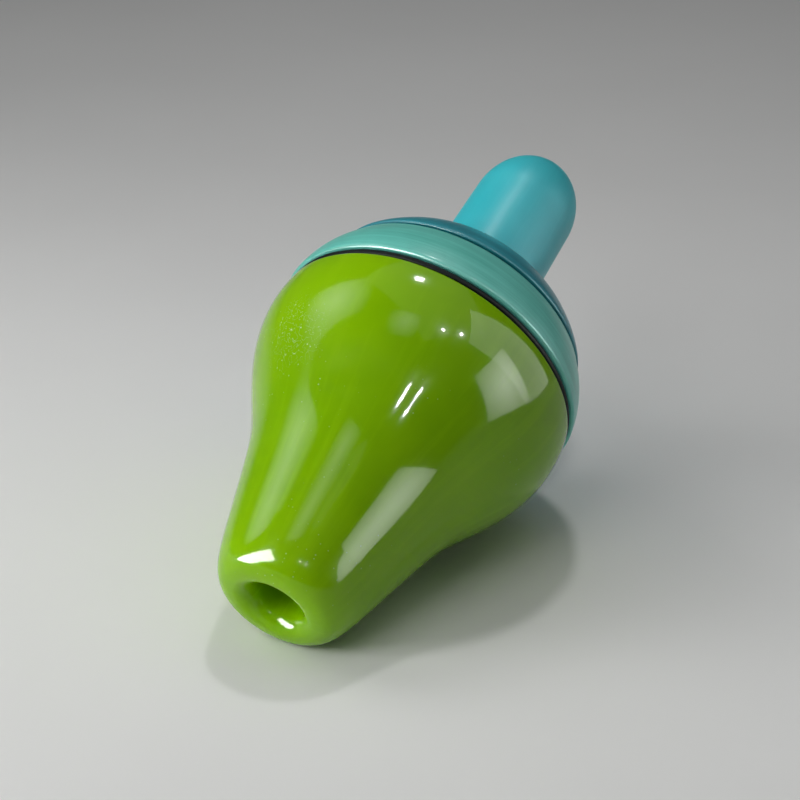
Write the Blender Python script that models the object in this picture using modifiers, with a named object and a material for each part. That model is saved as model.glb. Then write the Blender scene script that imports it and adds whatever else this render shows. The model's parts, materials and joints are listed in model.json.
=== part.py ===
"""Pipette filler bulb with a press valve, lying on its side as it rests on a bench.

A thick-walled rubber bulb has a socket for the pipette in its narrow end. A collar and a clamp ring
grip its wide end, and a cap closes it. The long round-ended button that stands out of the cap opens
a spring-loaded valve, which lets air out of the bulb or into it.

Every piece is drawn on one axis. On it, "reach" is the distance in millimetres from the face of the
socket, and each turned piece is an outline of (radius, reach) points. The axis then hangs from one
empty, which lays the whole bulb down until its socket end and its belly both touch the bench.
"""

import math

import bmesh
import bpy
import numpy as np

MM = 0.001

# Facets around a turned piece. Each count is even but not a multiple of four, so that a flat facet,
# and not a corner, faces the bench.
OUTER_SIDES = 42
INNER_SIDES = 22
SMALL_SIDES = 14

GAP = 0.3            # clearance between pieces that meet inside
SEAM_GAP = 0.2       # clearance on each side of a gasket that shows

# Bulb
MOUTH_FACE_R = 7.9   # outer edge of the flat ring around the socket
SOCKET_R = 4.3
SOCKET_DEPTH = 23.0
SOCKET_LEAD = 0.9    # rounding where the pipette goes in
FLANK_START = (12.7, 8.0)
FLANK_SLOPE = 0.38
BULB_END = 50.9
BULB_END_R = 26.0
NECK_R = 22.6
NECK_WALL = 2.6
NECK_END = 58.2

# Collar, gaskets and cap
SHOULDER_GASKET = 0.9
COLLAR_LOW_R = 26.15
COLLAR_TOP = 61.1
COLLAR_TOP_R = 23.2
COLLAR_BOW = 0.56
COLLAR_FLANGE = 58.5
CAP_GASKET = 0.3
CAP_RIM_R = 22.75
CAP_TOP = 70.2
CAP_HOLE_R = 11.7
CAP_UNDERSIDE = 66.5
SPIGOT_R = 16.3
SPIGOT_BORE_R = 13.6
SPIGOT_END = 52.0
VALVE_BORE_R = 12.9
SEAT_SHOULDER = 56.8

# Screws that draw the collar onto the clamp ring
SCREWS = 4
SCREW_CIRCLE_R = 18.2
SCREW_R = 0.8
SCREW_HEAD_R = 1.4
SCREW_HEAD = 1.2
SCREW_LENGTH = 7.0

# Button and valve
BUTTON_R = 9.27
BUTTON_TIP_R = 8.97
BUTTON_LOW = 62.6
BUTTON_DOME = 90.2   # where the round end starts
BUTTON_END = 101.2
BUTTON_WALL = 1.7
BOSS_R = 4.4
BOSS_END = 77.1
ROD_R = 1.5
ROD_HOLE_R = 1.8
ROD_LOW = 47.4
ROD_TOP = 84.0
SPRING_R = 5.2
SPRING_WIRE_R = 0.45
SPRING_TURNS = 7
SPRING_LOW = 57.9
SPRING_TOP = 75.8


def arc(centre, size, start, end, steps):
    """Points of an ellipse about a centre, from one angle to the other in degrees."""
    angles = np.radians(np.linspace(start, end, steps + 1))
    return [(centre[0] + size[0] * math.cos(a), centre[1] + size[1] * math.sin(a)) for a in angles]


def bezier(start, first, second, end, steps):
    """Points of a cubic curve that leaves start towards first and reaches end from second."""
    t = np.linspace(0.0, 1.0, steps + 1)[:, None]
    weights = ((1 - t) ** 3, 3 * t * (1 - t) ** 2, 3 * t**2 * (1 - t), t**3)
    points = sum(w * np.array(p) for w, p in zip(weights, (start, first, second, end)))
    return [tuple(p) for p in points]


def bowed(start, end, bow, steps):
    """Points of a shallow arch that stands out by bow from the chord, on the chord's left."""
    start, end = np.array(start), np.array(end)
    along = end - start
    side = np.array((-along[1], along[0])) / np.hypot(*along)
    t = np.linspace(0.0, 1.0, steps + 1)
    return [tuple(start + along * u + side * 4 * bow * u * (1 - u)) for u in t]


def smooth(stations, steps):
    """Points of a Catmull-Rom curve through the stations."""
    knots = np.array([stations[0], *stations, stations[-1]], float)
    points = []
    for a, b, c, d in zip(knots, knots[1:], knots[2:], knots[3:]):
        for t in np.arange(steps) / steps:
            bend = (2 * a - 5 * b + 4 * c - d) * t**2 + (3 * b - a - 3 * c + d) * t**3
            points.append(tuple((2 * b + (c - a) * t + bend) / 2))
    return [*points, tuple(stations[-1])]


def flank_outline():
    """The bulb's outside, from its wide end down past the waist to the face of the socket."""
    stations = [
        (BULB_END_R, BULB_END - 0.5), (26.25, 48.0), (25.85, 43.5), (24.2, 38.0), (21.1, 32.0),
        (17.95, 26.0), (15.95, 20.0), (14.3, 14.0), FLANK_START,
    ]
    flank = smooth(stations, 2)[:-1]
    low_handle = (FLANK_START[0] - 4.0 * FLANK_SLOPE, FLANK_START[1] - 4.0)
    return flank + bezier(FLANK_START, low_handle, (9.4, 0.0), (MOUTH_FACE_R, 0.0), 7)


def button_outline():
    """The button's outside, from the tip of its round end down to its lower edge."""
    dome = arc((0.0, BUTTON_DOME), (BUTTON_TIP_R, BUTTON_END - BUTTON_DOME), 90, 0, 9)
    return [(0.0, BUTTON_END), *dome[1:], (BUTTON_R, CAP_TOP), (BUTTON_R, BUTTON_LOW)]


def resting_tilt(outline, flat):
    """The angle at which one bench line touches both the socket end and the belly."""
    points = np.array(outline)
    low = points[points[:, 1] < 16.0]
    high = points[points[:, 1] > 30.0]
    rise = (high[None, :, 0] - low[:, None, 0]) * flat
    run = high[None, :, 1] - low[:, None, 1]
    return math.atan((rise / run).max(axis=1).min())


def finish(name, colour, roughness, metallic=0.0):
    material = bpy.data.materials.new(name)
    material.use_nodes = True
    shader = material.node_tree.nodes["Principled BSDF"]
    shader.inputs["Base Color"].default_value = (*colour, 1.0)
    shader.inputs["Roughness"].default_value = roughness
    shader.inputs["Metallic"].default_value = metallic
    material.diffuse_color = (*colour, 1.0)
    return material


def add(name, mesh, material, collection):
    """Hangs a mesh on the axis as one named piece."""
    mesh.shade_smooth()
    mesh.set_sharp_from_angle(angle=math.radians(40))
    mesh.materials.append(material)
    piece = bpy.data.objects.new(name, mesh)
    piece.parent = axis
    collection.objects.link(piece)
    return piece


def turned(name, outline, material, sides=INNER_SIDES, collection=None):
    """A piece turned from its outline, which runs down the outside and back up the inside.

    An outline that starts on the axis ends on it too, and any other one closes on itself.
    """
    points = [(r * MM, 0.0, reach * MM) for r, reach in outline]
    edges = [(i, i + 1) for i in range(len(points) - 1)]
    if outline[0][0] > 0:
        edges.append((len(points) - 1, 0))
    mesh = bpy.data.meshes.new(name)
    mesh.from_pydata(points, edges, [])
    piece = add(name, mesh, material, collection or pieces)
    screw = piece.modifiers.new("turn", "SCREW")
    screw.steps = screw.render_steps = sides
    screw.use_merge_vertices = True
    screw.merge_threshold = 0.00001
    screw.use_smooth_shade = True
    return piece


def ring(name, inner, outer, low, high, material, sides=INNER_SIDES):
    """A plain ring of square section."""
    return turned(name, [(outer, high), (outer, low), (inner, low), (inner, high)], material, sides)


def cut(piece, cutter):
    """Takes the cutter out of the piece."""
    cutter.hide_render = True
    cutter.display_type = "WIRE"
    boolean = piece.modifiers.new("cut_" + cutter.name, "BOOLEAN")
    boolean.operation = "DIFFERENCE"
    boolean.object = cutter


def box_cutter(name, size, place):
    """A block in millimetres, centred on a place on the axis."""
    mesh = bpy.data.meshes.new(name)
    block = bmesh.new()
    bmesh.ops.create_cube(block, size=1.0)
    bmesh.ops.scale(block, vec=[side * MM for side in size], verts=block.verts)
    block.to_mesh(mesh)
    block.free()
    cutter = add(name, mesh, steel, cutters)
    cutter.location = [value * MM for value in place]
    return cutter


def make_bulb():
    """One moulding of soft rubber: socket end, belly and the neck that the collar grips."""
    bore = arc((SOCKET_R + SOCKET_LEAD, SOCKET_LEAD), (SOCKET_LEAD, SOCKET_LEAD), 270, 180, 3)
    cavity = [(SOCKET_R, SOCKET_DEPTH), (7.4, 26.6), (13.2, 31.0), (18.0, 35.6), (21.3, 40.6),
              (22.7, 45.0), (21.8, 48.0), (NECK_R - NECK_WALL, 49.6)]
    neck = [(NECK_R - NECK_WALL, NECK_END), (NECK_R, NECK_END), (NECK_R, BULB_END),
            (BULB_END_R - 0.5, BULB_END)]
    turned("squeeze_bulb", neck[1:] + flank_outline() + bore + cavity + neck[:1], lime_rubber, OUTER_SIDES)


def make_collar():
    """A hard ring around the bulb's neck, with an inward flange that the screws pull on."""
    low = BULB_END + 2 * SEAM_GAP + SHOULDER_GASKET
    ring("shoulder_gasket", NECK_R + GAP, BULB_END_R - 0.7, BULB_END + SEAM_GAP, low - SEAM_GAP,
         black_rubber, OUTER_SIDES)
    outside = bowed((COLLAR_TOP_R, COLLAR_TOP - 0.4), (COLLAR_LOW_R, low + 0.5), COLLAR_BOW, 8)
    collar = turned("collar_band", [
        (COLLAR_TOP_R - 0.4, COLLAR_TOP), *outside, (COLLAR_LOW_R - 0.5, low), (NECK_R + GAP, low),
        (NECK_R + GAP, COLLAR_FLANGE), (SPIGOT_R + GAP, COLLAR_FLANGE), (SPIGOT_R + GAP, COLLAR_TOP),
    ], mint_plastic, OUTER_SIDES)
    clamp = ring("clamp_ring", SPIGOT_R + GAP, NECK_R - NECK_WALL - GAP, 50.5, NECK_END,
                 white_plastic, OUTER_SIDES)
    head = COLLAR_TOP + SEAM_GAP
    for i in range(SCREWS):
        angle = 2 * math.pi * (i + 0.5) / SCREWS
        place = (SCREW_CIRCLE_R * math.cos(angle) * MM, SCREW_CIRCLE_R * math.sin(angle) * MM, 0.0)
        hole = turned(f"screw_hole_{i + 1}", [
            (0.0, COLLAR_TOP + 2), (SCREW_R + GAP, COLLAR_TOP + 2), (SCREW_R + GAP, 40.0), (0.0, 40.0),
        ], steel, SMALL_SIDES, cutters)
        hole.location = place
        cut(collar, hole)
        cut(clamp, hole)
        screw = turned(f"collar_screw_{i + 1}", [
            (0.0, head + SCREW_HEAD - 0.6), (0.6, head + SCREW_HEAD - 0.5), (0.6, head + SCREW_HEAD),
            (SCREW_HEAD_R - 0.3, head + SCREW_HEAD), (SCREW_HEAD_R, head + SCREW_HEAD - 0.4),
            (SCREW_HEAD_R, head), (SCREW_R, head), (SCREW_R, head - SCREW_LENGTH + 0.5),
            (0.0, head - SCREW_LENGTH),
        ], steel, SMALL_SIDES)
        screw.location = place


def make_cap():
    """The domed cap. Its spigot goes down through the collar and holds the valve seat."""
    rim = COLLAR_TOP + 2 * SEAM_GAP + CAP_GASKET
    ring("cap_gasket", SCREW_CIRCLE_R + 1.9, CAP_RIM_R - 0.5, COLLAR_TOP + SEAM_GAP, rim - SEAM_GAP,
         black_rubber, OUTER_SIDES)
    dome = smooth([(CAP_HOLE_R, CAP_TOP), (14.6, 69.8), (17.6, 68.2), (20.2, 65.7), (22.2, 63.1),
                   (CAP_RIM_R, rim + 0.3)], 2)
    head_room = COLLAR_TOP + SEAM_GAP + SCREW_HEAD + 0.9
    turned("cap", [
        *dome, (CAP_RIM_R - 0.3, rim), (SCREW_CIRCLE_R + 1.9, rim), (SCREW_CIRCLE_R + 1.9, head_room),
        (SPIGOT_R, head_room + 2.6), (SPIGOT_R, 55.8), (SPIGOT_R - 1.2, 55.8), (SPIGOT_R - 1.2, 53.6),
        (SPIGOT_R, 53.6), (SPIGOT_R, SPIGOT_END), (SPIGOT_BORE_R, SPIGOT_END), (SPIGOT_BORE_R, 53.0),
        (SPIGOT_BORE_R + 0.6, 53.0), (SPIGOT_BORE_R + 0.6, 54.3), (SPIGOT_BORE_R, 54.3),
        (SPIGOT_BORE_R, SEAT_SHOULDER), (VALVE_BORE_R, SEAT_SHOULDER), (VALVE_BORE_R, CAP_UNDERSIDE),
        (CAP_HOLE_R, CAP_UNDERSIDE),
    ], teal_plastic, OUTER_SIDES)
    turned("spigot_o_ring", arc((SPIGOT_R - 0.35, 54.7), (0.5, 0.5), 90, -240, 11), black_rubber)
    turned("guide_bushing", [
        (10.0, CAP_TOP + 0.4), (11.1, CAP_TOP + 0.4), (CAP_HOLE_R - GAP, CAP_TOP + 0.1),
        (CAP_HOLE_R - GAP, CAP_UNDERSIDE - GAP), (VALVE_BORE_R - GAP, CAP_UNDERSIDE - GAP),
        (VALVE_BORE_R - GAP, 64.3), (BUTTON_R + 0.33, 64.3), (BUTTON_R + 0.33, CAP_TOP),
    ], white_plastic, OUTER_SIDES)


def make_valve_seat():
    """The plate across the spigot with the air port, and the ring that snaps in below it."""
    turned("valve_seat", [
        (SPIGOT_BORE_R - GAP, SEAT_SHOULDER - GAP), (SPIGOT_BORE_R - GAP, 54.6), (5.6, 54.6), (5.2, 54.0),
        (4.7, 54.0), (4.2, 54.6), (4.2, SEAT_SHOULDER - GAP),
    ], white_plastic)
    snap = ring("seat_snap_ring", 11.3, SPIGOT_BORE_R + 0.3, 53.3, 54.0, steel)
    cut(snap, box_cutter("snap_ring_slot", (6.0, 4.0, 4.0), (12.6, 0.0, 53.6)))
    ring("spring_washer", 4.4, 7.0, SEAT_SHOULDER, SEAT_SHOULDER + 0.4, steel)


def make_valve():
    """Everything that moves together: button, stop ring, rod and poppet."""
    bore_r = BUTTON_R - BUTTON_WALL
    turned("valve_button", [
        *button_outline()[:-1], (BUTTON_R, 64.4), (BUTTON_R - 0.7, 64.4), (BUTTON_R - 0.7, 63.0),
        (BUTTON_R, 63.0), (BUTTON_R, BUTTON_LOW), (bore_r, BUTTON_LOW), (bore_r, 94.0), (5.8, 96.2),
        (BOSS_R, 96.8), (BOSS_R, BOSS_END), (3.1, BOSS_END), (3.1, 88.0), (0.0, 88.0),
    ], turquoise_plastic, OUTER_SIDES)
    stop = ring("button_stop_ring", BUTTON_R - 0.4, 11.2, 63.3, 64.0, steel)
    cut(stop, box_cutter("stop_ring_slot", (6.0, 5.0, 4.0), (11.0, 0.0, 63.6)))
    ring("button_insert", ROD_HOLE_R, 2.8, BOSS_END + 0.3, ROD_TOP, brass, SMALL_SIDES)
    ring("spring_cup", ROD_HOLE_R, 6.6, BOSS_END - 0.9, BOSS_END - 0.3, steel)
    turned("valve_rod", [
        (0.0, ROD_TOP), (ROD_R - 0.3, ROD_TOP), (ROD_R, ROD_TOP - 0.4), (ROD_R, ROD_LOW + 0.4),
        (ROD_R - 0.3, ROD_LOW), (0.0, ROD_LOW),
    ], steel, SMALL_SIDES)
    ring("poppet_seal", ROD_HOLE_R, 6.2, 52.4, 53.7, black_rubber)
    turned("poppet", [
        (6.7, 52.1), (6.7, 51.3), (4.4, 50.3), (ROD_HOLE_R, 50.3), (ROD_HOLE_R, 52.1),
    ], white_plastic)
    nut = turned("poppet_nut", [(3.2, 50.0), (3.2, 48.2), (2.1, 48.2), (2.1, 50.0)], brass, 6)
    nut.rotation_euler.z = math.radians(30)


def make_spring():
    """The return spring: a helix with one close turn at each end."""
    close_pitch = 2 * SPRING_WIRE_R + 0.2
    turn = np.linspace(0.0, SPRING_TURNS, SPRING_TURNS * 12 + 1)
    free = (SPRING_TOP - SPRING_LOW - 2 * close_pitch) / (SPRING_TURNS - 2)
    rise = np.minimum(turn, 1) * close_pitch + np.clip(turn - 1, 0, SPRING_TURNS - 2) * free
    rise += np.maximum(turn - SPRING_TURNS + 1, 0) * close_pitch
    curve = bpy.data.curves.new("return_spring", "CURVE")
    curve.dimensions = "3D"
    curve.bevel_depth = SPRING_WIRE_R * MM
    curve.bevel_resolution = 2
    curve.use_fill_caps = True
    wire = curve.splines.new("POLY")
    wire.points.add(len(turn) - 1)
    for point, t, height in zip(wire.points, turn, rise):
        angle = 2 * math.pi * t
        place = (SPRING_R * math.cos(angle), SPRING_R * math.sin(angle), SPRING_LOW + height)
        point.co = (*[value * MM for value in place], 1.0)
    curve.materials.append(steel)
    spring = bpy.data.objects.new("return_spring", curve)
    spring.parent = axis
    pieces.objects.link(spring)


for leftover in list(bpy.data.objects):
    bpy.data.objects.remove(leftover)
pieces = bpy.data.collections.new("pipette_filler_bulb")
cutters = bpy.data.collections.new("cutters")
for group in (pieces, cutters):
    bpy.context.scene.collection.children.link(group)

lime_rubber = finish("lime_rubber", (0.26, 0.46, 0.01), 0.12)
black_rubber = finish("black_rubber", (0.01, 0.012, 0.012), 0.5)
mint_plastic = finish("mint_plastic", (0.16, 0.48, 0.40), 0.3)
teal_plastic = finish("teal_plastic", (0.03, 0.28, 0.36), 0.3)
turquoise_plastic = finish("turquoise_plastic", (0.05, 0.42, 0.50), 0.3)
white_plastic = finish("white_plastic", (0.75, 0.75, 0.72), 0.4)
steel = finish("steel", (0.6, 0.6, 0.6), 0.3, 1.0)
brass = finish("brass", (0.7, 0.5, 0.2), 0.3, 1.0)

# The axis: laid down by the resting tilt, with its lowest facets on the bench and the whole bulb
# centred over the origin.
flat_facet = math.cos(math.pi / OUTER_SIDES)
tilt = resting_tilt(flank_outline(), flat_facet)
outside_points = np.array(flank_outline() + button_outline())
radius, along_axis = outside_points[:, 0] * flat_facet, outside_points[:, 1]
underside = along_axis * math.sin(tilt) - radius * math.cos(tilt)
front = (along_axis * math.cos(tilt) - radius * math.sin(tilt)).min()
back = (along_axis * math.cos(tilt) + radius * math.sin(tilt)).max()
axis = bpy.data.objects.new("axis", None)
axis.location = (0.0, -(front + back) / 2 * MM, -underside.min() * MM)
axis.rotation_euler.x = tilt - math.pi / 2
pieces.objects.link(axis)

make_bulb()
make_collar()
make_cap()
make_valve_seat()
make_valve()
make_spring()
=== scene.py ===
"""A pipette filler bulb lying on a bench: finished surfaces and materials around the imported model."""
import json
import math

import bmesh
import bpy
import numpy as np
from mathutils import Matrix, Vector


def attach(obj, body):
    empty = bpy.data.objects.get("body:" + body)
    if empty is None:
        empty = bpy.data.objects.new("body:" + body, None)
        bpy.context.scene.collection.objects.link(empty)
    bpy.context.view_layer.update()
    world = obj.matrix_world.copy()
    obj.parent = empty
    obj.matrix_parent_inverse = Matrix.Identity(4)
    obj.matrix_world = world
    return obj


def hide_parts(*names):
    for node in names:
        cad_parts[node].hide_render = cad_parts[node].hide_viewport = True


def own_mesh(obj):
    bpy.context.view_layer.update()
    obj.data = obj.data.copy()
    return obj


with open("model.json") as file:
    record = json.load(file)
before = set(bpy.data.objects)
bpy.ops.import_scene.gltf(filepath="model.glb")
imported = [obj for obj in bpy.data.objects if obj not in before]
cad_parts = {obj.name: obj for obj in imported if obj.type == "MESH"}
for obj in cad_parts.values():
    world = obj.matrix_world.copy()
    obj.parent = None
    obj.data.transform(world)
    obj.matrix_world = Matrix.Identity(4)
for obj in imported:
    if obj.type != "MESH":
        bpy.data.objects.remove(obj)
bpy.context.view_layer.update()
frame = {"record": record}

# ---------------------------------------------------------------------------------------------
# Squeeze bulb. One thick moulding of soft, very glossy lime rubber: a socket for the pipette in
# the narrow end, a waist, a wide belly, and a neck that the collar grips. It is cured in a
# polished mould, so only flow marks, dust and fine handling marks break its shine.

MM = 0.001
CREASE = math.radians(50)                     # edges that bend more than this stay sharp
socket = next(m for m in frame["record"]["mounts"] if m["name"] == "pipette_socket")
mouth = np.array(socket["pos_m"])            # centre of the socket's face
along = -np.array(socket["axis"])            # the bulb's line, from the socket to the button
side = np.array((1.0, 0.0, 0.0))
under = np.cross(along, side)                # across the line, towards the bench


def arc(centre, size, start, end, steps=8):
    """Part of an ellipse: centre + size * (cos a, sin a), with a in degrees from start to end."""
    a = np.radians(np.linspace(start, end, steps + 1))
    return np.stack((centre[0] + size[0] * np.cos(a), centre[1] + size[1] * np.sin(a)), axis=1)


def cubic(start, first, second, end, steps=24):
    """A Bezier curve: the four points weighed by (1-t)^3, 3t(1-t)^2, 3t^2(1-t) and t^3."""
    t = np.linspace(0.0, 1.0, steps + 1)[:, None]
    a, b, c, d = (np.array(p, float) for p in (start, first, second, end))
    return (1 - t) ** 3 * a + 3 * t * (1 - t) ** 2 * b + 3 * t**2 * (1 - t) * c + t**3 * d


def line(start, end, steps=6):
    """A straight run of points without its ends, so that long flats have rows of their own."""
    t = np.linspace(0.0, 1.0, steps + 2)[1:-1, None]
    return np.array(start, float) * (1 - t) + np.array(end, float) * t


def spline(posts, steps=14):
    """A uniform cubic B-spline: each span weighs four posts in a row, so even its bend is smooth."""
    p = np.array(posts, float)
    a, b, c, d = (q[:, None, :] for q in (p[:-3], p[1:-2], p[2:-1], p[3:]))
    t = (np.arange(steps) / steps)[None, :, None]
    curve = (1 - t) ** 3 * a + (3 * t**3 - 6 * t**2 + 4) * b
    curve = curve + (3 * t + 3 * t**2 - 3 * t**3 + 1) * c + t**3 * d
    return np.vstack([curve.reshape(-1, 2), p[-3] + 4 * p[-2] + p[-1]]) / 6


def surface(name, grid, closed_rows=False, poles=()):
    """A mesh over a grid of points whose last column meets its first: each cell is one face.

    The last row meets the first too if the rows are closed. Each pole closes one end row.
    """
    rows, columns = grid.shape[:2]
    i, j = np.meshgrid(np.arange(rows if closed_rows else rows - 1), np.arange(columns), indexing="ij")
    low, right = (i + 1) % rows, (j + 1) % columns
    corners = (i * columns + j, low * columns + j, low * columns + right, i * columns + right)
    faces = np.stack(corners, -1).reshape(-1, 4).tolist()
    points = grid.reshape(-1, 3)
    if len(poles):
        first, after = np.arange(columns), (np.arange(columns) + 1) % columns
        last = (rows - 1) * columns
        top, bottom = len(points) + np.arange(2)
        points = np.vstack([points, poles])
        faces += np.stack((0 * first + top, first, after), -1).tolist()
        faces += np.stack((0 * first + bottom, last + after, last + first), -1).tolist()
    mesh = bpy.data.meshes.new(name)
    mesh.from_pydata(points, [], faces)
    mesh.shade_smooth()
    mesh.set_sharp_from_angle(angle=CREASE)
    piece = bpy.data.objects.new(name, mesh)
    bpy.context.scene.collection.objects.link(piece)
    return piece


def turned(name, outline, columns=96, shape=None, centre=(0.0, 0.0), floor=None):
    """A surface turned about the bulb's line, or a line beside it, from (radius, reach) in mm.

    A point is mouth + along * reach + (side * cos v + under * sin v) * radius, with v the angle
    around. The outline runs down the outside and back up the inside. One that starts on the line
    ends on it too, with a pole at each end, and any other closes on itself. shape(radius, reach,
    v) gives a new radius, and no point goes below floor.
    """
    outline = np.array(outline, float)
    poled = outline[0, 0] == 0
    rows = outline[1:-1] if poled else outline
    v = np.linspace(0.0, 2 * math.pi, columns, endpoint=False)
    radius, reach = rows[:, :1] + 0 * v, rows[:, 1:] + 0 * v
    if shape:
        radius = shape(radius, reach, v[None, :])
    outward = np.cos(v)[:, None] * side + np.sin(v)[:, None] * under
    middle = mouth + (centre[0] * side + centre[1] * under) * MM
    grid = middle + (reach[..., None] * along + radius[..., None] * outward) * MM
    if floor is not None:
        grid[..., 2] = np.maximum(grid[..., 2], floor)
    poles = middle + np.outer(outline[[0, -1], 1], along) * MM if poled else ()
    return surface(name, grid, closed_rows=not poled, poles=poles)


def dressed(piece, body, slot, material, *nodes):
    """Puts a finished piece on its body, in place of the CAD nodes that it stands for."""
    piece.data.materials.append(material)
    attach(piece, body)
    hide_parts(*nodes)
    return piece


class Finish:
    """A material being mixed: its shader, and the nodes that feed it."""

    def __init__(self, name, **sockets):
        self.material = bpy.data.materials.new(name)
        self.material.use_nodes = True
        self.tree = self.material.node_tree
        self.shader = self.tree.nodes["Principled BSDF"]
        for socket_name, value in sockets.items():
            self.shader.inputs[socket_name.replace("_", " ")].default_value = value

    def node(self, kind, inputs=None, **settings):
        made = self.tree.nodes.new("ShaderNode" + kind)
        for key, value in settings.items():
            setattr(made, key, value)
        for key, value in (inputs or {}).items():
            if isinstance(value, bpy.types.NodeSocket):
                self.tree.links.new(value, made.inputs[key])
            else:
                made.inputs[key].default_value = value
        return made

    def feed(self, socket_name, value):
        self.tree.links.new(value, self.shader.inputs[socket_name])

    def math(self, operation, a, b=0.0):
        return self.node("Math", {0: a, 1: b}, operation=operation).outputs[0]

    def own(self):
        """Coordinates in the bulb's own frame, in millimetres: x and y across its line, z along it."""
        turn = Matrix((side, under, along)).to_euler()
        shift = -np.array((mouth @ side, mouth @ under, mouth @ along)) / MM
        spot = self.node("TexCoord").outputs["Object"]
        return self.node("Mapping", {"Vector": spot, "Scale": (1 / MM,) * 3, "Rotation": turn,
                                     "Location": shift}).outputs[0]

    def reach(self):
        return self.node("SeparateXYZ", {0: self.own()}).outputs[2]

    def drawn(self, around, lengthwise):
        """Coordinates that count turns around the line and millimetres along it at their own rates.

        The two parts across the line are brought to length one, so they only say which way round
        a point is, and a pattern on them runs along the piece, or around it if lengthwise is high.
        """
        parts = self.node("SeparateXYZ", {0: self.own()}).outputs
        flat = self.node("CombineXYZ", {0: parts[0], 1: parts[1]}).outputs[0]
        unit = self.node("VectorMath", {0: flat}, operation="NORMALIZE").outputs[0]
        wide = self.node("VectorMath", {0: unit, "Scale": around}, operation="SCALE").outputs[0]
        tall = self.node("CombineXYZ", {2: self.math("MULTIPLY", parts[2], lengthwise)}).outputs[0]
        return self.node("VectorMath", {0: wide, 1: tall}, operation="ADD").outputs[0]

    def noise(self, vector, scale=1.0, detail=3.0, roughness=0.5, distortion=0.0):
        return self.node("TexNoise", {"Vector": vector, "Scale": scale, "Detail": detail,
                                      "Roughness": roughness, "Distortion": distortion}).outputs["Fac"]

    def span(self, value, low, high, out_low=0.0, out_high=1.0):
        """Maps low..high to out_low..out_high and holds the ends."""
        return self.node("MapRange", {"Value": value, "From Min": low, "From Max": high,
                                      "To Min": out_low, "To Max": out_high}).outputs[0]

    def blend(self, share, a, b):
        """Mixes two colours, a where share is 0 and b where it is 1."""
        mixed = self.node("Mix", data_type="RGBA")
        for key, value in (("Factor_Float", share), ("A_Color", a), ("B_Color", b)):
            target = next(s for s in mixed.inputs if s.identifier == key)
            if isinstance(value, bpy.types.NodeSocket):
                self.tree.links.new(value, target)
            else:
                target.default_value = (*value, 1.0)
        return next(s for s in mixed.outputs if s.identifier == "Result_Color")

    def specks(self, vector, scale, size, keep):
        """Round dots: 1 within size of a cell's middle, in the share of the cells that keep says."""
        cells = self.node("TexVoronoi", {"Vector": vector, "Scale": scale}).outputs
        chosen = self.node("SeparateColor", {0: cells["Color"]}).outputs[0]
        dot = self.span(cells["Distance"], size, size * 0.5)
        return self.math("MULTIPLY", dot, self.span(chosen, keep, keep * 0.9))

    def scratches(self, vector, width, keep):
        """Hairlines: 1 where a smooth noise crosses its middle, and another noise is above keep."""
        crossing = self.math("ABSOLUTE", self.math("SUBTRACT", self.noise(vector, 1.0, 1.0), 0.5))
        worn = self.span(self.noise(self.own(), 0.11, 2.0), keep, keep + 0.08)
        return self.math("MULTIPLY", self.span(crossing, width, 0.0), worn)

    def relief(self, height, depth, strength=1.0):
        """Raises the surface by height (0 to 1) times depth, in metres."""
        bump = self.node("Bump", {"Height": height, "Distance": depth, "Strength": strength})
        self.feed("Normal", bump.outputs[0])


NECK_R, NECK_END, BULB_END, SHOULDER_R, CORNER = 22.6, 58.2, 50.9, 25.3, 0.6
SOCKET_R, SOCKET_END, LIP_R, LIP_DEPTH, CAVITY_R = 4.3, 22.6, 2.5, 3.0, 20.0
SPAN = 6.0                                                # reach between the posts of the flank
flank_radii = (24.31, 26.34, 26.33, 24.63, 21.37, 17.9, 16.03, 14.44, 12.78, 11.26, 9.88)
flank = spline([(r, BULB_END - 0.5 + SPAN - i * SPAN) for i, r in enumerate(flank_radii)])
flank = flank[flank[:, 1] > 8.0]
mouth_edge = cubic(flank[-1], (11.3, 3.4), (10.6, 0.0), (SOCKET_R + LIP_R, 0.0), 40)[1:]
lip = arc((SOCKET_R + LIP_R, LIP_DEPTH), (LIP_R, LIP_DEPTH), 270, 180, 20)[1:]
cavity = spline([(2.2, 20.0), (3.9, 23.0), (7.4, 26.4), (13.3, 31.0), (18.1, 35.7), (21.5, 40.5),
                 (23.0, 45.2), (21.4, 48.6), (18.8, 51.2)], 6)
cavity = cavity[cavity[:, 0] > SOCKET_R]
bulb_outline = np.vstack([
    line((NECK_R, NECK_END), (NECK_R, BULB_END)), (NECK_R, BULB_END), (SHOULDER_R, BULB_END),
    arc((flank[0, 0] - CORNER, BULB_END - CORNER), (CORNER, CORNER), 80, 10), flank, mouth_edge, lip,
    line((SOCKET_R, LIP_DEPTH), (SOCKET_R, SOCKET_END), 20), cavity,
    line((CAVITY_R, 50.6), (CAVITY_R, NECK_END)), (CAVITY_R, NECK_END), (NECK_R, NECK_END),
])
bulb = turned("squeeze_bulb_moulding", bulb_outline, 288, floor=0.0)

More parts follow.
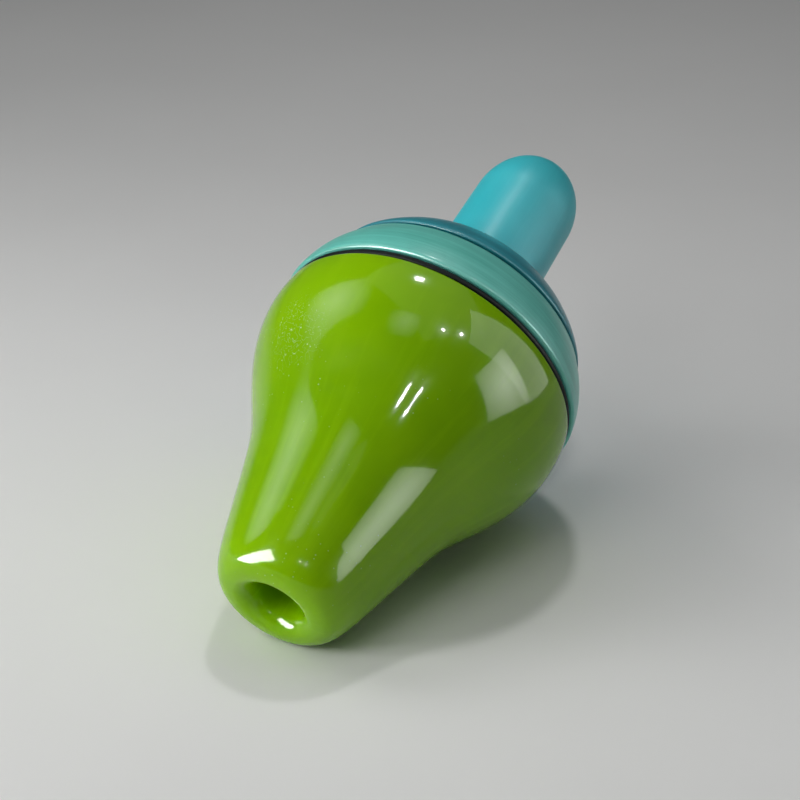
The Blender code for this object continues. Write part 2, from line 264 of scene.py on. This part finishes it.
rubber = Finish("glossy_lime_rubber", Specular_IOR_Level=0.1, Coat_Weight=0.36, Coat_Roughness=0.03,
                Subsurface_Weight=0.3, Subsurface_Radius=(0.7, 1.0, 0.05), Subsurface_Scale=0.003)
depth_of_tone = rubber.span(rubber.noise(rubber.own(), 0.045, 3.0), 0.35, 0.65)
body_colour = rubber.blend(depth_of_tone, (0.185, 0.40, 0.0), (0.235, 0.475, 0.0))
flow = rubber.span(rubber.noise(rubber.drawn(7.0, 0.03), 1.0, 4.0, 0.6), 0.52, 0.75, 0.0, 0.35)
body_colour = rubber.blend(flow, body_colour, (0.30, 0.59, 0.006))
# Paler towards the socket's mouth: partly the stretched rubber of the lip, partly painted light standing in
# for the brightly lit rim and the light shining through the thin lip.
pale_lip_painted_light = rubber.span(rubber.reach(), 5.0, 0.0, 0.0, 0.45)
body_colour = rubber.blend(pale_lip_painted_light, body_colour, (0.28, 0.58, 0.0))
thumb_mark = (-11.1, -20.8, 36.0)                          # where a dusty hand held the belly
from_thumb = rubber.node("VectorMath", {0: rubber.own(), 1: thumb_mark}, operation="DISTANCE")
handled = rubber.span(from_thumb.outputs["Value"], 8.0, 2.0)
stray = rubber.span(rubber.noise(rubber.own(), 0.07, 2.0), 0.52, 0.68, 0.0, 0.5)
dusty = rubber.math("MAXIMUM", handled, stray)
dust = rubber.math("MULTIPLY", rubber.specks(rubber.own(), 1.6, 0.22, 0.16), dusty)
lint = rubber.math("MULTIPLY", rubber.scratches(rubber.own(), 0.006, 0.42), handled)
marks = rubber.math("MAXIMUM", dust, lint)
dust_cover = rubber.math("MULTIPLY", marks, 0.9)
rubber.feed("Base Color", rubber.blend(dust_cover, body_colour, (0.75, 0.82, 0.60)))
smudge = rubber.span(rubber.noise(rubber.own(), 0.12, 4.0, 0.6, 0.6), 0.45, 0.7, 0.12, 0.24)
rubber.feed("Roughness", rubber.math("ADD", smudge, rubber.math("MULTIPLY", marks, 0.4)))
ripple = rubber.math("MULTIPLY", rubber.noise(rubber.own(), 0.25, 2.0), 0.6)
rubber.relief(rubber.math("ADD", ripple, rubber.math("MULTIPLY", marks, 0.4)), 0.00003, 0.5)
dressed(bulb, "bulb", "lime_rubber", rubber.material, "squeeze_bulb")

# ---------------------------------------------------------------------------------------------
# Shoulder gasket. A flat black rubber ring between the bulb's shoulder and the collar. It shows
# as the dark line around the bulb, and is cut from sheet, so its edge is rounded and matt.

gasket_rubber = Finish("black_gasket_rubber", Specular_IOR_Level=0.12)
sheet_grain = gasket_rubber.noise(gasket_rubber.own(), 3.0, 5.0, 0.6)
black = gasket_rubber.blend(sheet_grain, (0.001, 0.002, 0.002), (0.005, 0.008, 0.007))
gasket_rubber.feed("Base Color", black)
gasket_rubber.feed("Roughness", gasket_rubber.span(sheet_grain, 0.3, 0.7, 0.4, 0.6))
gasket_rubber.relief(sheet_grain, 0.00003)


def gasket(name, inner, outer, low, high, columns=192, body="bulb"):
    """A ring whose two edges are half rounds: an arc out, around, and back along the inside."""
    half = (high - low) / 2
    outline = np.vstack([arc((outer - half, low + half), (half, half), 90, -90, 10),
                         arc((inner + half, low + half), (half, half), 270, 90, 10)])
    ring = turned(name + "_ring", outline, columns)
    dressed(ring, body, "black_rubber", gasket_rubber.material, name)


gasket("shoulder_gasket", 22.9, 25.75, 51.0, 52.1)

# ---------------------------------------------------------------------------------------------
# Collar band. A hard mint ring around the bulb's neck, bowed outwards, with an inward flange that
# the screws pull on. It is turned from rod, so fine tool lines run around it.

COLLAR_LOW, COLLAR_TOP, COLLAR_FLANGE = 52.2, 61.1, 58.5
COLLAR_LOW_R, COLLAR_TOP_R, COLLAR_BOW, COLLAR_EDGE = 26.15, 23.2, 0.56, 0.5
COLLAR_BORE_R, FLANGE_BORE_R, GAP = 22.9, 16.6, 0.3


def bowed(start, end, bow, steps=32):
    """A shallow arch: the straight line from start to end, moved out by 4 * bow * t * (1 - t)."""
    t = np.linspace(0.0, 1.0, steps + 1)[:, None]
    start, chord = np.array(start), np.array(end) - np.array(start)
    outward = np.array((-chord[1], chord[0])) / np.hypot(*chord)
    return start + chord * t + outward * 4 * bow * t * (1 - t)


def drilled(piece, places, radius, low, high):
    """Bores a straight hole along the bulb's line at each place across it, given in millimetres.

    Corners that a bore leaves within a thousandth of a millimetre of each other become one.
    """
    for place in places:
        cylinder = [(0.0, high), (radius, high), (radius, low), (0.0, low)]
        drill = turned("drill", cylinder, 24, centre=place)
        bore = piece.modifiers.new("bore", "BOOLEAN")
        bore.operation = "DIFFERENCE"
        bore.object = drill
        bored = piece.evaluated_get(bpy.context.evaluated_depsgraph_get())
        whole = bpy.data.meshes.new_from_object(bored)
        piece.modifiers.clear()
        piece.data = whole
        bpy.data.objects.remove(drill)
    cleaned = bmesh.new()
    cleaned.from_mesh(piece.data)
    bmesh.ops.remove_doubles(cleaned, verts=cleaned.verts, dist=0.001 * MM)
    cleaned.to_mesh(piece.data)
    cleaned.free()
    piece.data.name = piece.name


SCREW_CIRCLE_R, SCREW_R = 18.2, 0.8
quarters = np.radians(45.0 + 90.0 * np.arange(4))
screw_places = SCREW_CIRCLE_R * np.stack((np.cos(quarters), np.sin(quarters)), axis=1)

collar = turned("collar_band_shell", np.vstack([
    line((FLANGE_BORE_R, COLLAR_TOP), (22.6, COLLAR_TOP), 2), (22.7, COLLAR_TOP),
    arc((COLLAR_TOP_R - COLLAR_EDGE, COLLAR_TOP - COLLAR_EDGE), (COLLAR_EDGE, COLLAR_EDGE), 80, 40, 4),
    bowed((COLLAR_TOP_R, COLLAR_TOP - COLLAR_EDGE), (COLLAR_LOW_R, COLLAR_LOW + COLLAR_EDGE), COLLAR_BOW),
    arc((COLLAR_LOW_R - COLLAR_EDGE, COLLAR_LOW + COLLAR_EDGE), (COLLAR_EDGE, COLLAR_EDGE), 0, -90, 6),
    (COLLAR_BORE_R, COLLAR_LOW), line((COLLAR_BORE_R, COLLAR_LOW), (COLLAR_BORE_R, COLLAR_FLANGE)),
    (COLLAR_BORE_R, COLLAR_FLANGE), (FLANGE_BORE_R, COLLAR_FLANGE), (FLANGE_BORE_R, COLLAR_TOP),
]), 256)
drilled(collar, screw_places, SCREW_R + GAP, COLLAR_FLANGE - 1, COLLAR_TOP + 1)


def machined(name, dark, light, line_rate, **sockets):
    """A turned finish: noise that is long around the piece and short along it tints and grooves it."""
    finish = Finish(name, **sockets)
    lines = finish.noise(finish.drawn(1.6, line_rate), 1.0, 5.0, 0.65)
    cloud = finish.noise(finish.own(), 0.09, 3.0)
    line_share, cloud_share = (finish.span(lines, 0.35, 0.65, 0.0, 0.6),
                               finish.span(cloud, 0.35, 0.65, 0.0, 0.4))
    worn = finish.scratches(finish.own(), 0.005, 0.6)
    colour = finish.blend(finish.math("ADD", line_share, cloud_share), dark, light)
    scuffed = finish.blend(finish.math("MULTIPLY", worn, 0.35), colour, (0.7, 0.85, 0.83))
    finish.feed("Base Color", scuffed)
    return finish, lines


mint, mint_lines = machined("mint_collar_plastic", (0.085, 0.46, 0.38), (0.17, 0.64, 0.55), 2.6,
                            IOR=1.5, Coat_Weight=0.25, Coat_Roughness=0.12)
mint.feed("Roughness", mint.span(mint_lines, 0.3, 0.7, 0.3, 0.42))
mint.relief(mint_lines, 0.00003, 0.8)
dressed(collar, "bulb", "mint_plastic", mint.material, "collar_band")

# ---------------------------------------------------------------------------------------------
# Clamp ring and its four screws. The hard white ring inside the rubber neck, and the steel socket
# screws that draw the collar's flange down onto it. The cap hides both.

CLAMP_R, CLAMP_BORE_R, CLAMP_LOW, CHAMFER = 19.7, 16.6, 50.5, 0.3
clamp = turned("clamp_ring_turning", [
    (CLAMP_R - CHAMFER, NECK_END), (CLAMP_R, NECK_END - CHAMFER),
    *line((CLAMP_R, NECK_END), (CLAMP_R, CLAMP_LOW)), (CLAMP_R, CLAMP_LOW + CHAMFER),
    (CLAMP_R - CHAMFER, CLAMP_LOW), (CLAMP_BORE_R + CHAMFER, CLAMP_LOW), (CLAMP_BORE_R, CLAMP_LOW + CHAMFER),
    *line((CLAMP_BORE_R, CLAMP_LOW), (CLAMP_BORE_R, NECK_END)), (CLAMP_BORE_R, NECK_END - CHAMFER),
    (CLAMP_BORE_R + CHAMFER, NECK_END)], 192)
drilled(clamp, screw_places, SCREW_R + GAP, CLAMP_LOW - 0.5, NECK_END + 1)
nylon, nylon_lines = machined("white_bearing_nylon", (0.58, 0.58, 0.53), (0.72, 0.72, 0.69), 2.0,
                              IOR=1.5, Subsurface_Weight=0.2, Subsurface_Scale=0.002)
nylon.feed("Roughness", nylon.span(nylon_lines, 0.3, 0.7, 0.35, 0.5))
nylon.relief(nylon_lines, 0.00002, 0.6)
dressed(clamp, "bulb", "white_plastic", nylon.material, "clamp_ring")


def metal(name, dark, light):
    """A machined metal: tool lines around it tint, groove and roughen it."""
    finish, lines = machined(name, dark, light, 4.0, Metallic=1.0)
    finish.feed("Roughness", finish.span(lines, 0.3, 0.7, 0.2, 0.38))
    finish.relief(lines, 0.00001, 0.6)
    return finish.material


steel = metal("bright_steel", (0.46, 0.47, 0.48), (0.66, 0.66, 0.65))
HEAD_LOW, HEAD_TOP, HEAD_R, HEAD_EDGE, KEY_FLAT, KEY_DEPTH = 61.3, 62.5, 1.4, 0.25, 0.55, 0.7
SCREW_LOW, PITCH, THREAD = 54.4, 0.5, 0.12


def hexagon(flat, v):
    """A hexagon's radius at angle v: half its width over the cosine of the turn to its nearest flat."""
    return flat / np.cos((v + math.pi / 6) % (math.pi / 3) - math.pi / 6)


def threaded(radius, reach, v, low, high, crest):
    """Turns a plain shank between low and high into a thread: a ridge that climbs one pitch a turn."""
    wave = np.abs(((reach / PITCH - v / (2 * math.pi)) % 1.0) - 0.5) * 2
    shank = (np.abs(radius - crest) < 0.01) & (reach > low) & (reach < high)
    return np.where(shank, crest - THREAD * wave, radius)


def screw_shape(radius, reach, v):
    key = (radius < KEY_FLAT + 0.01) & (reach > HEAD_LOW)
    radius = np.where(key, hexagon(radius, v), radius)
    return threaded(radius, reach, v, SCREW_LOW + 0.6, HEAD_LOW - 1.2, SCREW_R)


screw_outline = np.vstack([
    (0.0, HEAD_TOP - KEY_DEPTH), (KEY_FLAT, HEAD_TOP - KEY_DEPTH), (KEY_FLAT, HEAD_TOP),
    (HEAD_R - HEAD_EDGE, HEAD_TOP),
    arc((HEAD_R - HEAD_EDGE, HEAD_TOP - HEAD_EDGE), (HEAD_EDGE, HEAD_EDGE), 70, 0, 4),
    (HEAD_R, HEAD_LOW), (SCREW_R, HEAD_LOW), line((SCREW_R, HEAD_LOW), (SCREW_R, SCREW_LOW + 0.4), 52),
    (SCREW_R - 0.2, SCREW_LOW), (0.0, SCREW_LOW),
])
for number, place in enumerate(screw_places, 1):
    screw = turned(f"collar_screw_{number}_turning", screw_outline, 36, screw_shape, place)
    dressed(screw, "bulb", "steel", steel, f"collar_screw_{number}")

# ---------------------------------------------------------------------------------------------
# Cap gasket, cap and o-ring. The cap is a blue-green dome on a second thin gasket. Its spigot goes
# down through the collar with an o-ring around it, and is bored out for the valve.

CAP_LOW, CAP_RIM_R, CAP_TOP, CAP_HOLE_R, CAP_UNDERSIDE = 61.8, 22.75, 70.2, 11.7, 66.5
CAP_WALL_R, SPIGOT_R, SPIGOT_END, SPIGOT_BORE_R = 20.1, 16.3, 52.0, 13.6
VALVE_BORE_R, SEAT_SHOULDER = 12.9, 56.8
O_RING_GROOVE_R, O_RING_LOW, O_RING_HIGH = 15.1, 53.6, 55.8
SNAP_GROOVE_R, SNAP_LOW, SNAP_HIGH = 14.2, 53.0, 54.3
gasket("cap_gasket", CAP_WALL_R, 22.25, 61.3, 61.6)
dome = spline([(8.8, 70.05), (11.9, 70.28), (14.9, 69.9), (17.9, 68.3), (20.5, 65.6), (22.5, 62.9),
               (23.9, 59.8)])
dome = dome[dome[:, 1] > CAP_LOW + 0.35]
cap = turned("cap_shell", np.vstack([
    dome, arc((CAP_RIM_R - 0.35, CAP_LOW + 0.3), (0.3, 0.3), 0, -90, 6),
    (CAP_WALL_R, CAP_LOW), (CAP_WALL_R, 63.4), (SPIGOT_R, 66.0),
    line((SPIGOT_R, 66.0), (SPIGOT_R, O_RING_HIGH)), (SPIGOT_R, O_RING_HIGH),
    (O_RING_GROOVE_R, O_RING_HIGH), (O_RING_GROOVE_R, O_RING_LOW), (SPIGOT_R, O_RING_LOW),
    (SPIGOT_R, SPIGOT_END), (SPIGOT_BORE_R, SPIGOT_END), (SPIGOT_BORE_R, SNAP_LOW),
    (SNAP_GROOVE_R, SNAP_LOW), (SNAP_GROOVE_R, SNAP_HIGH), (SPIGOT_BORE_R, SNAP_HIGH),
    (SPIGOT_BORE_R, SEAT_SHOULDER), (VALVE_BORE_R, SEAT_SHOULDER),
    line((VALVE_BORE_R, SEAT_SHOULDER), (VALVE_BORE_R, CAP_UNDERSIDE)), (VALVE_BORE_R, CAP_UNDERSIDE),
    (CAP_HOLE_R, CAP_UNDERSIDE), (CAP_HOLE_R, dome[0, 1] - 0.3),
]), 256)
teal, teal_lines = machined("teal_cap_plastic", (0.010, 0.19, 0.24), (0.024, 0.29, 0.35), 2.2,
                            IOR=1.5, Coat_Weight=0.25, Coat_Roughness=0.12)
teal.feed("Roughness", teal.span(teal_lines, 0.3, 0.7, 0.3, 0.42))
teal.relief(teal_lines, 0.00002, 0.8)
dressed(cap, "bulb", "teal_plastic", teal.material, "cap")
o_ring = turned("spigot_o_ring_moulding", arc((15.95, 54.7), (0.5, 0.5), 90, -250, 20), 160)
dressed(o_ring, "bulb", "black_rubber", gasket_rubber.material, "spigot_o_ring")

# ---------------------------------------------------------------------------------------------
# Guide bushing. A thin white liner in the hole of the cap. The button slides in it, and it shows
# as a pale line around the button's foot.

BUSH_BORE_R, BUSH_R, BUSH_FLANGE_R, BUSH_LOW, BUSH_EDGE = 9.6, 11.4, 12.6, 64.3, 0.4
bushing = turned("guide_bushing_liner", np.vstack([
    arc((BUSH_BORE_R + BUSH_EDGE, CAP_TOP), (BUSH_EDGE, BUSH_EDGE), 180, 90, 5),
    arc((BUSH_R - BUSH_EDGE, CAP_TOP), (BUSH_EDGE, BUSH_EDGE), 80, 0, 5),
    (BUSH_R, CAP_UNDERSIDE - GAP), (BUSH_FLANGE_R, CAP_UNDERSIDE - GAP), (BUSH_FLANGE_R, BUSH_LOW),
    (BUSH_BORE_R, BUSH_LOW), line((BUSH_BORE_R, BUSH_LOW), (BUSH_BORE_R, CAP_TOP)),
]), 192)
dressed(bushing, "bulb", "white_plastic", nylon.material, "guide_bushing")

# ---------------------------------------------------------------------------------------------
# Valve seat, snap ring and washer. The white seat closes the spigot but for its air port, around
# which a raised lip meets the poppet. A steel snap ring holds it, and the spring stands on a washer.

SEAT_R, SEAT_LOW, SEAT_TOP, PORT_R = 13.3, 54.6, 56.5, 4.2
seat = turned("valve_seat_turning", np.vstack([
    (SEAT_R, SEAT_TOP), (SEAT_R, SEAT_LOW), (5.6, SEAT_LOW), arc((4.95, 54.5), (0.5, 0.5), 0, -180, 10),
    (PORT_R, SEAT_LOW + 0.1), (PORT_R, SEAT_TOP - GAP), (PORT_R + GAP, SEAT_TOP),
]), 128)
dressed(seat, "bulb", "white_plastic", nylon.material, "valve_seat")


def open_ring(name, inner, outer, low, high, opening):
    """A snap ring: a rounded strip swept around the line, less an opening given in degrees.

    The strip is a squared-off ellipse: each of its two waves is raised to the power 0.35.
    """
    middle, half, tall = (inner + outer) / 2, (outer - inner) / 2, (high - low) / 2
    u = np.linspace(0.0, 2 * math.pi, 24, endpoint=False)
    v = np.radians(np.linspace(opening / 2, 360 - opening / 2, 120))[:, None]
    across, up_down = (np.sign(wave) * np.abs(wave) ** 0.35 for wave in (np.cos(u), np.sin(u)))
    radius, reach = middle + half * across, (low + high) / 2 + tall * up_down
    outward = np.cos(v)[..., None] * side + np.sin(v)[..., None] * under
    grid = mouth + (radius[:, None] * outward + reach[:, None] * along) * MM
    return surface(name, grid, poles=grid[[0, -1]].mean(axis=1))


snap = open_ring("seat_snap_ring_wire", 11.35, 13.85, 53.35, 53.95, 26)
dressed(snap, "bulb", "steel", steel, "seat_snap_ring")


def plain_ring(name, inner, outer, low, high, slot, material, body, node, edge=0.12):
    """A ring of square section with a small flat broken on each corner."""
    outline = [(outer - edge, high), (outer, high - edge), (outer, low + edge), (outer - edge, low),
               (inner + edge, low), (inner, low + edge), (inner, high - edge), (inner + edge, high)]
    return dressed(turned(name, outline), body, slot, material, node)


plain_ring("spring_washer_pressing", 4.4, 7.0, 56.8, 57.2, "steel", steel, "bulb", "spring_washer")

# ---------------------------------------------------------------------------------------------
# Return spring. Wound steel wire with a close turn at each end. Its foot stands on the washer and
# its top meets the button's cup. A press shortens it by the button's travel; here it is one fixed coil.

WIRE_R, SPRING_R, TURNS, SPRING_LOW, SPRING_TOP = 0.45, 5.2, 7, 57.9, 75.8
turn = np.linspace(0.0, TURNS, TURNS * 48 + 1)
close_pitch = 2 * WIRE_R + 0.2
free_pitch = (SPRING_TOP - SPRING_LOW - 2 * close_pitch) / (TURNS - 2)
height = SPRING_LOW + np.minimum(turn, 1) * close_pitch + np.clip(turn - 1, 0, TURNS - 2) * free_pitch
height += np.maximum(turn - TURNS + 1, 0) * close_pitch
angle = 2 * math.pi * turn
coil = np.stack((SPRING_R * np.cos(angle), SPRING_R * np.sin(angle), height), axis=1)


def tube(name, path, radius, columns=16):
    """A round wire: circles set square to the path, one at each of its points, with closed ends."""
    ahead = np.gradient(path, axis=0)
    ahead /= np.linalg.norm(ahead, axis=1)[:, None]
    out = np.stack((path[:, 0], path[:, 1], 0 * path[:, 0]), axis=1)
    out -= ahead * (out * ahead).sum(axis=1)[:, None]
    out /= np.linalg.norm(out, axis=1)[:, None]
    over = np.cross(ahead, out)
    v = np.linspace(0.0, 2 * math.pi, columns, endpoint=False)[None, :, None]
    local = path[:, None] + (out[:, None] * np.cos(v) + over[:, None] * np.sin(v)) * radius
    grid = mouth + (local @ np.stack((side, under, along))) * MM
    return surface(name, grid[::-1], poles=grid[[-1, 0]].mean(axis=1))


spring = tube("return_spring_wire", coil, WIRE_R)
dressed(spring, "bulb", "steel", steel, "return_spring")
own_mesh(spring)

# ---------------------------------------------------------------------------------------------
# Valve button. One long hollow moulding in turquoise with a full round end, which stands out of
# the cap. Smooth and satin from the mould, with faint lengthwise marks where it slides.

BUTTON_R, BUTTON_TIP_R, BUTTON_DOME, BUTTON_END, BUTTON_LOW = 9.27, 8.97, 90.2, 101.2, 62.6
BUTTON_BORE_R, BOSS_R, BOSS_ROOT, BOSS_BORE_R, BOSS_BORE_TOP, BOSS_END = 7.57, 4.4, 96.8, 3.1, 88.0, 77.1
STOP_GROOVE_R, STOP_GROOVE_LOW, STOP_GROOVE_TOP, HOLLOW_TOP = 8.57, 63.0, 64.4, 94.0
round_end = arc((0.0, BUTTON_DOME), (BUTTON_TIP_R, BUTTON_END - BUTTON_DOME), 90, 0, 48)
button = turned("valve_button_moulding", np.vstack([
    (0.0, BUTTON_END), round_end[1:], line((BUTTON_TIP_R, BUTTON_DOME), (BUTTON_R, CAP_TOP), 20),
    (BUTTON_R, CAP_TOP), (BUTTON_R, STOP_GROOVE_TOP), (STOP_GROOVE_R, STOP_GROOVE_TOP),
    (STOP_GROOVE_R, STOP_GROOVE_LOW), (BUTTON_R, STOP_GROOVE_LOW), (BUTTON_R, BUTTON_LOW),
    (BUTTON_BORE_R, BUTTON_LOW), line((BUTTON_BORE_R, BUTTON_LOW), (BUTTON_BORE_R, HOLLOW_TOP), 12),
    arc((5.8, HOLLOW_TOP), (1.77, 2.4), 0, 90, 6), (BOSS_R, BOSS_ROOT),
    line((BOSS_R, BOSS_ROOT), (BOSS_R, BOSS_END), 8), (BOSS_R, BOSS_END), (BOSS_BORE_R, BOSS_END),
    (BOSS_BORE_R, BOSS_BORE_TOP), (0.0, BOSS_BORE_TOP),
]), 192)
turquoise = Finish("turquoise_button_plastic", IOR=1.5, Coat_Weight=0.15, Coat_Roughness=0.3,
                   Subsurface_Weight=0.15, Subsurface_Radius=(0.1, 0.8, 1.0), Subsurface_Scale=0.002)
tint = turquoise.span(turquoise.noise(turquoise.own(), 0.06, 3.0), 0.35, 0.65)
marks_along = turquoise.noise(turquoise.drawn(14.0, 0.08), 1.0, 4.0, 0.6)
colour = turquoise.blend(tint, (0.024, 0.47, 0.54), (0.036, 0.54, 0.61))
colour = turquoise.blend(turquoise.span(marks_along, 0.5, 0.8, 0.0, 0.3), colour, (0.07, 0.62, 0.69))
hairs = turquoise.scratches(turquoise.drawn(9.0, 0.5), 0.006, 0.56)
faint_hairs = turquoise.math("MULTIPLY", hairs, 0.3)
turquoise.feed("Base Color", turquoise.blend(faint_hairs, colour, (0.4, 0.7, 0.75)))
satin = turquoise.noise(turquoise.own(), 0.2, 4.0)
turquoise.feed("Roughness", turquoise.span(satin, 0.4, 0.7, 0.42, 0.55))
turquoise.relief(marks_along, 0.00002, 0.4)
dressed(button, "valve", "turquoise_plastic", turquoise.material, "valve_button")

# ---------------------------------------------------------------------------------------------
# Stop ring, insert and spring cup. The steel ring snaps into the button's groove and stops it under
# the bushing, the brass insert takes the rod's thread, and the cup spreads the spring's push.

stop = open_ring("button_stop_ring_wire", 8.92, 11.15, 63.35, 63.95, 34)
dressed(stop, "valve", "steel", steel, "button_stop_ring")
brass = metal("machined_brass", (0.60, 0.40, 0.13), (0.78, 0.56, 0.24))
ROD_HOLE_R, ROD_TOP = 1.8, 84.0
plain_ring("button_insert_turning", ROD_HOLE_R, 2.8, 77.4, ROD_TOP, "brass", brass, "valve", "button_insert")
plain_ring("spring_cup_pressing", ROD_HOLE_R, 6.6, 76.2, 76.8, "steel", steel, "valve", "spring_cup")

# ---------------------------------------------------------------------------------------------
# Rod and poppet. The steel rod is threaded at both ends. Its lower end carries the poppet, a white
# disc under a black rubber seal, and a brass nut that holds them.

ROD_R, ROD_LOW, LOWER_THREAD_END, UPPER_THREAD_END, ROD_EDGE = 1.5, 47.4, 50.2, 78.0, 0.4


def rod_shape(radius, reach, v):
    radius = threaded(radius, reach, v, ROD_LOW + ROD_EDGE, LOWER_THREAD_END, ROD_R)
    return threaded(radius, reach, v, UPPER_THREAD_END, ROD_TOP - ROD_EDGE, ROD_R)


rod = turned("valve_rod_turning", np.vstack([
    (0.0, ROD_TOP), (ROD_R - 0.3, ROD_TOP), (ROD_R, ROD_TOP - ROD_EDGE),
    line((ROD_R, ROD_TOP - ROD_EDGE), (ROD_R, UPPER_THREAD_END), 60),
    line((ROD_R, UPPER_THREAD_END), (ROD_R, LOWER_THREAD_END), 12),
    line((ROD_R, LOWER_THREAD_END), (ROD_R, ROD_LOW + ROD_EDGE), 30), (ROD_R, ROD_LOW + ROD_EDGE),
    (ROD_R - 0.3, ROD_LOW), (0.0, ROD_LOW),
]), 48, rod_shape)
dressed(rod, "valve", "steel", steel, "valve_rod")
gasket("poppet_seal", ROD_HOLE_R, 6.2, 52.4, 53.7, 96, "valve")
poppet = turned("poppet_turning", np.vstack([
    (6.5, 52.1), arc((6.5, 51.9), (0.2, 0.2), 80, 0, 4), (6.7, 51.3), (4.4, 50.3), (ROD_HOLE_R, 50.3),
    (ROD_HOLE_R, 52.1),
]))
dressed(poppet, "valve", "white_plastic", nylon.material, "poppet")
NUT_LOW, NUT_TOP, NUT_FLAT = 48.2, 50.0, 2.77


def nut_shape(radius, reach, v):
    """The outer rows become a hexagon, cut off at the corners by a cone near each face."""
    chamfer = 2.85 + 1.7 * np.minimum(reach - NUT_LOW, NUT_TOP - reach)
    return np.where(radius > 2.5, np.minimum(hexagon(NUT_FLAT, v), chamfer), radius)


nut = turned("poppet_nut_turning", np.vstack([
    (2.6, NUT_TOP), line((2.7, NUT_TOP), (2.7, NUT_LOW), 10), (2.6, NUT_LOW), (2.1, NUT_LOW),
    (2.1, NUT_TOP),
]), 96, nut_shape)
dressed(nut, "valve", "brass", brass, "poppet_nut")

# ---------------------------------------------------------------------------------------------
# Bench, lights and camera. The bulb lies on a pale matt bench. A key light stands low on the left,
# with a fill beside the camera. Soft panels at both sides and overhead, and small lamps, give shine.

floor = bpy.data.meshes.new("bench_top")
floor.from_pydata([(-3, -3, 0), (3, -3, 0), (3, 3, 0), (-3, 3, 0)], [], [(0, 1, 2, 3)])
bench = bpy.data.objects.new("bench_top", floor)
bpy.context.scene.collection.objects.link(bench)
pale = Finish("pale_bench", Roughness=0.65, Specular_IOR_Level=0.0)
pale.feed("Base Color", pale.blend(pale.noise(pale.own(), 0.02), (0.76, 0.76, 0.75), (0.81, 0.81, 0.80)))
bench.data.materials.append(pale.material)

AZIMUTH, ELEVATION = math.radians(28.4), math.radians(28.25)
level = math.cos(ELEVATION)
back = Vector((math.sin(AZIMUTH) * level, -math.cos(AZIMUTH) * level, math.sin(ELEVATION)))
right = Vector((math.cos(AZIMUTH), math.sin(AZIMUTH), 0.0))
up = back.cross(right)
camera = bpy.data.objects.new("camera", bpy.data.cameras.new("camera"))
bpy.context.scene.collection.objects.link(camera)
camera.data.sensor_width = 36.0
camera.data.lens = 99.0
camera.data.clip_start = 0.01
stand = Vector(mouth) + back * 0.3287 + right * 0.0191 + up * 0.0312
camera.matrix_world = Matrix.Translation(stand) @ Matrix((right, up, back)).transposed().to_4x4()
bpy.context.scene.camera = camera


def panel(name, towards, distance, size, radiance, roll=0.0, spread=180.0,
          gloss=True, shade=True, reach=0.03):
    """A flat light facing the bulb's line at a reach, with lengths in metres and angles in degrees.

    Its power is how bright its face is, times pi and its area. One without shade is only mirrored
    in the shine, and one without gloss only lights the colours.
    """
    light = bpy.data.objects.new(name, bpy.data.lights.new(name, "AREA"))
    bpy.context.scene.collection.objects.link(light)
    light.data.shape = "RECTANGLE"
    light.data.size, light.data.size_y = size
    light.data.energy = radiance * math.pi * size[0] * size[1]
    light.data.spread = math.radians(spread)
    light.visible_camera = False
    light.visible_glossy = gloss
    light.visible_diffuse = shade
    aim = (right * towards[0] + up * towards[1] + back * towards[2]).normalized()
    light.location = Vector(mouth) + Vector(along) * reach + aim * distance
    face = aim.to_track_quat("Z", "Y") @ Matrix.Rotation(math.radians(roll), 3, "Z").to_quaternion()
    light.rotation_euler = face.to_euler()


panel("key", (-0.90, 0.09, 0.42), 0.36, (0.28, 0.12), 6.0, 60.0, gloss=False)
panel("key_strip", (-0.87, 0.14, 0.47), 0.12, (0.14, 0.05), 40.0, 58.0, shade=False, reach=0.0)
panel("fill", (-0.40, 0.34, 0.85), 0.40, (0.20, 0.20), 2.7, gloss=False)
panel("left_panel", (-0.70, 0.71, 0.10), 0.36, (0.18, 0.42), 0.26, 0.0, 45.0)
panel("right_panel", (0.93, 0.28, 0.19), 0.25, (0.14, 0.34), 2.8, 16.0, shade=False)
panel("front_right_panel", (0.90, -0.01, 0.45), 0.30, (0.17, 0.19), 0.9, 8.0, 56.0, shade=False)
panel("overhead_panel", (0.20, 0.91, 0.36), 0.45, (0.62, 0.42), 0.45)
panel("overhead_strip", (-0.12, 0.66, 0.74), 0.40, (0.14, 0.12), 0.05, 0.0, 24.0, shade=False)
panel("overhead_lamp", (0.09, 0.98, 0.17), 0.40, (0.034, 0.034), 70.0)
for hand, towards in (("left", (0.32, 0.59, 0.74)), ("right", (0.50, 0.53, 0.67))):
    panel(f"upper_lamp_{hand}", towards, 0.30, (0.009, 0.009), 300.0, shade=False)
for hand, towards in (("left", (0.07, 0.18, 0.98)), ("right", (0.20, 0.11, 0.97))):
    panel(f"front_lamp_{hand}", towards, 0.30, (0.008, 0.008), 160.0, shade=False)
world = bpy.data.worlds.new("studio")
world.use_nodes = True
world.node_tree.nodes["Background"].inputs["Color"].default_value = (0.95, 0.98, 1.0, 1.0)
world.node_tree.nodes["Background"].inputs["Strength"].default_value = 0.05
bpy.context.scene.world = world
bpy.context.scene.view_settings.view_transform = "Standard"
